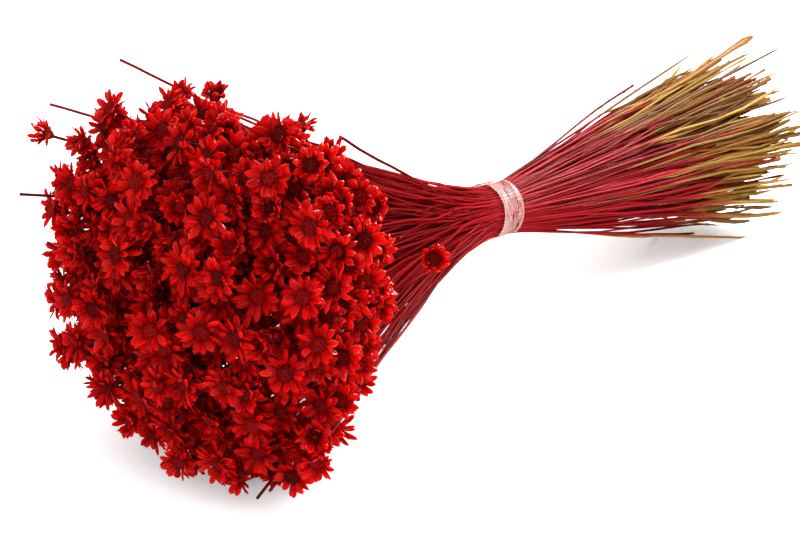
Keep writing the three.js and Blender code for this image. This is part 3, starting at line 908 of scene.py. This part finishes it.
free = np.ones(stem_count, bool)
spot_of = np.zeros(stem_count, int)
for n in range(lone_total):
    wish = wanted[n] + [0, *rng.normal(0, packed_off, 2)]
    away = np.where(free, np.linalg.norm(packed - wish, axis=1), np.inf)
    spot_of[n] = np.argmin(away)
    free[spot_of[n]] = False
spot_of[lone_total:] = np.flatnonzero(free)

for n in range(total, stem_count):
    share, angle = spot_share[spot_of[n]], spot_angle[spot_of[n]]
    turn = angle + rng.normal(0, filler_turn)
    tops[n] = head_point(dome_turn(min(filler_low, share * share)), turn)
    tops[n] *= filler_top - filler_short * rng.uniform() ** 2
    off_floor(tops[n], top_off_floor)
    faces_back[n] = unit(tops[n])
    if n >= lone_total:
        out = share * rng.uniform(*inner_out)
        turn = angle + rng.normal(0, filler_tail_turn)
        ends[n] = cut_end(1 - tail_ragged * rng.uniform() ** 2, out, turn) + tail_lift
        off_floor(ends[n], stem_end_radius)

through = packed[spot_of]
stem_spray = np.array([spray_of(math.atan2(p[2], p[1])) for p in through])

# where the dye stops, in millimetres past the tie: sooner high in the tail, on a
# few stems almost at the tie, on a few not at all, and on the two lowest as given
dye_middle, dye_spread, dye_tilt = 116, 15, 0.75
odd_share, early_dye, late_dye, low_dye = 0.05, (5, 60), (170, 210), [85, 105]
dye_end = rng.normal(dye_middle, dye_spread, stem_count) - dye_tilt * ends[:, 2]
luck = rng.uniform(size=stem_count)
dye_end = np.where(luck < odd_share, rng.uniform(*early_dye, stem_count), dye_end)
dye_end = np.where(luck > 1 - odd_share, rng.uniform(*late_dye, stem_count), dye_end)
dye_end[lone_total - len(low_dye):lone_total] = low_dye

# how far the sheath at the foot swells on the stems that have one, where it
# starts, how flat and rough it is, and whether the stem was cut to a point
sheath_share, sheath_most, sheath_from = 0.5, (0.1, 0.55), (80, 150)
sheath_ease, sheath_flattest, sheath_rough, rough_limits = 18, 1.45, 0.22, (-1.5, 2)
pointed_share, pointed_tip, blunt_tip = 0.55, 0.25, 0.9
sheath_swell = np.where(
    rng.uniform(size=stem_count) < sheath_share, rng.uniform(*sheath_most, stem_count), 0.0)
sheath_start = rng.uniform(*sheath_from, stem_count)
sheath_flat = rng.uniform(1.0, sheath_flattest, stem_count)
pointed = np.where(rng.uniform(size=stem_count) < pointed_share, pointed_tip, blunt_tip)
stem_tint = rng.uniform(size=stem_count)

# half thickness by millimetres from the tie, and how much more the stems have
# that stand clear of the bunch, where nothing rubs them
stem_slim_at, stem_slim = [-200, -20, 0, 60, 190], [0.34, 0.38, 0.36, 0.42, 0.60]
lone_stout, stray_stout = 1.45, 1.25
stem_stout = np.ones(stem_count)
stem_stout[:outer_total - FLOWERS] = lone_stout
stem_stout[total:lone_total] = stray_stout

stem_sides = 5
head_rows, neck_rows = 11, 4
tail_rows = np.array([0.0, 0.06, 0.2, 0.38, 0.55, 0.7, 0.82, 0.91, 0.97, 1.0])
neck_bend, neck_pull = 10.0, 0.35
wander_turns, wander_size = (0.5, 1.9), (0.3, 2.1)
tail_wander, tail_wander_ease, lone_steady = 1.3, 0.7, 0.35


def wave(s, amplitude, count):
    """A slow sideways wander of each stem: two sines of its own along s, 0 where amplitude is."""
    turns = rng.uniform(*wander_turns, (count, 1, 2))
    phases = rng.uniform(0, 2 * np.pi, (count, 1, 2))
    size = rng.uniform(*wander_size, (count, 1, 1))
    two = np.sin(2 * np.pi * turns * s[None, :, None] + phases) * size * amplitude[None, :, None]
    return np.concatenate([np.zeros((count, len(s), 1)), two], axis=2)


def stem_paths():
    """Points along every stem, from its top to its cut end, as (stems, rows, 3). The head side
    is a quadratic curve that leaves the tie almost straight, and a short cubic turns its last
    stretch square to the flower's back; the tail side is straight. Both wander a little."""
    start = through + [-core_length / 2, 0, 0]
    middle = through * stem_straight_spread + [-(core_length / 2 + stem_straight), 0, 0]
    length = np.linalg.norm(tops - start, axis=1)
    join = 1 - neck_bend / length
    t = np.linspace(0, 1, head_rows)[None, :, None] * join[:, None, None]
    curve = start[:, None] * (1 - t) ** 2 + 2 * middle[:, None] * t * (1 - t) + tops[:, None] * t ** 2
    heading = unit(curve[:, -1] - curve[:, -2])
    s = np.linspace(0, 1, neck_rows)[1:][None, :, None]
    near_join = curve[:, -1:] + heading[:, None] * neck_bend * neck_pull
    near_top = tops[:, None] - faces_back[:, None] * neck_bend * neck_pull
    turn_in = (curve[:, -1:] * (1 - s) ** 3 + 3 * near_join * s * (1 - s) ** 2
               + 3 * near_top * s ** 2 * (1 - s) + tops[:, None] * s ** 3)
    along = np.linspace(0, 1, head_rows)
    curve = curve + wave(along, np.sin(np.pi * along), stem_count)
    leave = through + [core_length / 2, 0, 0]
    tail = leave[:, None] + (ends - leave)[:, None] * tail_rows[None, :, None]
    wander = wave(tail_rows, tail_wander * np.sin(np.pi * tail_rows * tail_wander_ease), stem_count)
    wander[total:lone_total] *= lone_steady
    tail = tail + wander
    return np.concatenate([turn_in[:, ::-1], curve[:, ::-1], tail], axis=1)


def stem_radii(paths):
    """Half thickness across and through each stem at each row: thickest at the sheath."""
    from_tie = paths[..., 0]
    slim = np.interp(from_tie, stem_slim_at, stem_slim)
    sheath = np.clip((from_tie - sheath_start[:, None]) / sheath_ease, 0, 1)
    swell = sheath_swell[:, None] * sheath
    rough = sheath * sheath_rough * rng.normal(size=from_tie.shape).clip(*rough_limits)
    radius = slim * stem_stout[:, None] * (1 + swell) * (1 + rough)
    radius[:, -1] *= pointed
    radius[:, -2] *= 0.5 + 0.5 * pointed
    flat = 1 + (sheath_flat[:, None] - 1) * sheath
    return radius * flat, radius / flat


def tubes(paths, wide, thin, sides):
    """A profile carried along each path: an oval ring at each row, square to the path, turned
    on from row to row with no twist, and closed at both ends."""
    count, rows = paths.shape[:2]
    tangents = unit(np.gradient(paths, axis=1))
    across = np.zeros_like(paths)
    seed_side = rng.normal(size=(count, 3))
    for row in range(rows):
        along = tangents[:, row]
        seed_side = unit(seed_side - along * np.sum(seed_side * along, axis=1, keepdims=True))
        across[:, row] = seed_side
    through_it = np.cross(tangents, across)
    turn = 2 * np.pi * np.arange(sides) / sides
    rings = (paths[:, :, None] + across[:, :, None] * (np.cos(turn) * wide[..., None])[..., None]
             + through_it[:, :, None] * (np.sin(turn) * thin[..., None])[..., None])
    points = np.concatenate([rings.reshape(count, rows * sides, 3), paths[:, [0, -1]]], axis=1)
    return points, tube_faces(rows, sides)


# the dyed colours run from 200 mm before the tie to 200 mm past it, darkest at the flower end as
# painted shade deep in the head
straw_streaks = (60, 1500, 1500)
dye_range = 400
dye_fades_over, dye_ragged, dye_held = 22, 1.4, -0.2


def stem_straw():
    """Dried straw: wine-red under the flowers, darkened deep in the head as painted shade,
    crimson past the tie and golden at the foot, with fine lengthwise streaks. Along is
    millimetres from the tie, across is where the dye stops. The dye fades into gold over some
    20 mm, sooner along the paler streaks."""
    material, shader = blank_material("stem_straw")
    sockets(shader, Roughness=0.3, Specular_IOR_Level=0.18)
    stretch = tree.nodes.new("ShaderNodeMapping")
    sockets(stretch, Scale=straw_streaks)
    tree.links.new(own_place(), stretch.inputs["Vector"])
    streaks = noise(1.0, 3.0, stretch.outputs[0])
    along = value_of("along")
    # wine-red dye with painted shade: near black at the flower end, deep in the head
    dyed_and_shaded = colours(worked("MULTIPLY_ADD", along, 1 / dye_range, 0.5), [
        (0.0, (0.10, 0.0006, 0.0012)), (0.28, (0.25, 0.0015, 0.0032)),
        (0.46, (0.33, 0.0030, 0.0060)), (0.72, (0.31, 0.0045, 0.010))])
    golden = mixed(streaks, (0.13, 0.045, 0.006), (0.50, 0.25, 0.050))
    ripeness = colours(worked("FRACT", worked("MULTIPLY", value_of("tint"), 7.3)), [
        (0.0, (0.45, 0.36, 0.30)), (0.5, (0.9, 0.85, 0.8)), (1.0, (1.5, 1.6, 1.7))])
    golden = mixed(1.0, golden, ripeness, "MULTIPLY")
    past = worked("SUBTRACT", along, value_of("across"))
    past = worked("MULTIPLY_ADD", past, 1 / dye_fades_over, dye_held)
    undyed = worked("MULTIPLY_ADD", streaks, dye_ragged, past, clamp=True)
    body = mixed(undyed, dyed_and_shaded, golden)
    tone = colours(value_of("tint"), [
        (0.0, (0.45, 0.4, 0.4)), (0.5, (0.9, 0.85, 0.85)), (1.0, (1.4, 1.9, 1.7))])
    body = mixed(1.0, body, tone, "MULTIPLY")
    body = mixed(worked("MULTIPLY", streaks, 0.3), body, (0.09, 0.004, 0.003))
    tree.links.new(body, shader.inputs["Base Color"])
    bump(shader, streaks, 0.5, 0.0002)
    return material


STRIPS = 420
strip_sides = 4
strip_length, strip_width, strip_thin = (7.0, 22.0), (0.35, 0.85), 0.14
strip_from, strip_slant, strip_bend = (0.35, 0.95), 0.09, 0.06
strip_furthest, strip_lowest = tail_reach - 1, -tie_height / 2
strip_rows, strip_shape = np.array([-0.15, 0.25, 0.65, 1.0]), np.array([0.7, 1.0, 0.7, 0.1])


def husk_strips(paths, owners):
    """Torn strips of the dry sheath, one on each named stem: from a point on the stem's foot a
    short flat lance leaves it at a slant. It is widest a quarter of the way along."""
    count = len(owners)
    spot = rng.uniform(*strip_from, count) * (len(tail_rows) - 1)
    row = len(paths[0]) - len(tail_rows) + spot.astype(int).clip(0, len(tail_rows) - 2)
    part = (spot % 1)[:, None]
    foot = paths[owners, row] * (1 - part) + paths[owners, row + 1] * part
    ahead = unit(paths[owners, row + 1] - paths[owners, row])
    slant = ahead + rng.normal(0, strip_slant, (count, 3))
    length = np.minimum(rng.uniform(*strip_length, count), strip_furthest - foot[:, 0])
    bend = rng.normal(0, strip_bend, (count, 1, 3)) * (strip_rows ** 2)[None, :, None]
    lance = unit(slant)[:, None] * strip_rows[None, :, None] + bend
    path = foot[:, None] + lance * length[:, None, None]
    path[..., 2] = np.maximum(path[..., 2], strip_lowest)
    wide = rng.uniform(*strip_width, (count, 1)) * strip_shape
    return path, wide, np.full_like(wide, strip_thin)


straw = stem_straw()
paths = stem_paths()
wide, thin = stem_radii(paths)
owners = rng.integers(0, stem_count, STRIPS)
strips = husk_strips(paths, owners)
for k in range(SPRAYS):
    parts = []
    mine, my_strips = np.flatnonzero(stem_spray == k), np.flatnonzero(stem_spray[owners] == k)
    for stems, chosen, shape, sides in (
            (mine, mine, (paths, wide, thin), stem_sides),
            (owners[my_strips], my_strips, strips, strip_sides)):
        points, faces = tubes(*(values[chosen] for values in shape), sides)
        values = np.zeros((*points.shape[:2], 3))
        values[..., 0] = points[..., 0]
        values[..., 1] = dye_end[stems][:, None]
        values[..., 2] = stem_tint[stems][:, None]
        parts.append(spread_out(points, faces, values))
    add_piece(f"stems_{k + 1}", parts, [straw, straw], f"spray_{k + 1}")


# ---- Tape -----------------------------------------------------------------
# One turn of clear sticky tape holds the stems. It is pulled tight over them,
# so it takes up their bumps, and its loose end laps over the start.

tape_width = 12.0
tape_film, tape_lifted = 0.12, 1.4
tape_start, tape_lap, tape_step_ease = 0.6, 0.8, 0.08
tape_sunk, tape_edge, tape_edge_sharp = 0.42, 0.10, 8
tape_steps, tape_rows = 220, 22

# ripples over the stems: depth, how many in a turn, how unevenly spaced, and
# slant; creases: depth, and the number in a turn and slant of their two waves
tape_ripples = [(0.10, 46, 0.5, 0.10), (0.06, 83, 0, 0.2)]
tape_crease, crease_waves = 0.07, [(9, 1.1), (5, -0.7)]


def tape_turn():
    """An oval spiral strip: its radius follows the bundle, ripples over the stems by a sum of
    sines, is creased slantwise by a product of two, flares at both edges, and steps out by
    one film where it laps. A second sheet inside closes it."""
    turn = np.linspace(0, 2 * np.pi + tape_lap, tape_steps) + tape_start
    x = np.linspace(-tape_width / 2, tape_width / 2, tape_rows)
    a, w = np.meshgrid(turn, x, indexing="ij")
    oval = 1 / np.hypot(np.cos(a) / tape_radius_y, np.sin(a) / tape_radius_z)
    ripple = sum(
        depth * np.sin(waves * a + uneven * np.sin(3 * a) + slant * w)
        for depth, waves, uneven, slant in tape_ripples)
    crease = np.full_like(a, tape_crease)
    for waves, slant in crease_waves:
        crease *= np.sin(waves * a + slant * w)
    past_start = np.clip((a - tape_start - 2 * np.pi) / tape_step_ease + 1, 0, 1)
    lapped = tape_film * tape_lifted * past_start
    outer = oval - tape_sunk + ripple + crease + lapped
    outer = outer + tape_edge * (np.abs(w) / (tape_width / 2)) ** tape_edge_sharp
    sheets = []
    for radius in (outer, outer - tape_film):
        sheets.append(np.stack([w, radius * np.cos(a), radius * np.sin(a)], axis=2).reshape(-1, 3))
    points = np.concatenate(sheets)
    size = tape_steps * tape_rows
    i, j = np.meshgrid(np.arange(tape_steps - 1), np.arange(tape_rows - 1), indexing="ij")
    i, j = i.ravel(), j.ravel()
    a, b = i * tape_rows + j, (i + 1) * tape_rows + j
    c, d = b + 1, a + 1
    outside = quads_of(a, d, c, b)
    inside = outside[:, ::-1] + size
    grid = np.arange(size).reshape(tape_steps, tape_rows)
    loop = np.concatenate([grid[:, 0], grid[-1, 1:], grid[-2::-1, -1], grid[0, -2:0:-1]])
    after = np.roll(loop, -1)
    rim = quads_of(loop, after, after + size, loop + size)
    values = np.zeros((2 * size, 3))
    values[:, 0] = np.tile(np.repeat(turn, tape_rows), 2)
    values[:, 1] = np.tile(np.tile(x, tape_steps), 2)
    return points, np.concatenate([outside, inside, rim]), values


film_pink = (0.76, 0.47, 0.43)
film_milk, film_clear = 1.15, -0.40
# how much milkier the rims are, in part a painted highlight, and how sharply it rises
rim_milk_and_glint, rim_sharp = 0.45, 16.0
head_side_milk = 0.14


def clear_film():
    """Clear film gone milky with wrinkles: see-through, glossy, with streaks that run round,
    milkier along both rims, in part as a painted highlight where the edges catch the light,
    and milkier on the side of the flowers. Along is the turn in radians, across is millimetres
    from the tie."""
    material, shader = blank_material("clear_film")
    sockets(shader, Base_Color=(*film_pink, 1), Roughness=0.14, Specular_IOR_Level=0.9)
    streaks = noise(1.0, 3.0, streak_place(along=1.5, across=0.9))
    milk = worked("MULTIPLY_ADD", streaks, film_milk, film_clear)
    off_middle = worked("MULTIPLY", worked("ABSOLUTE", value_of("across")), 2 / tape_width)
    # painted highlight in part: the film is milkier, so paler, along both rims where the edges catch
    # the light
    milk = worked("MULTIPLY_ADD", worked("POWER", off_middle, rim_sharp), rim_milk_and_glint, milk)
    head_side = worked("MULTIPLY_ADD", value_of("across"), -0.5, -0.5, clamp=True)
    milk = worked("MULTIPLY_ADD", head_side, head_side_milk, milk, clamp=True)
    tree.links.new(milk, shader.inputs["Alpha"])
    bump(shader, streaks, 0.2, 0.0003)
    return material


add_piece("tape", [tape_turn()], [clear_film()], "tape_band")
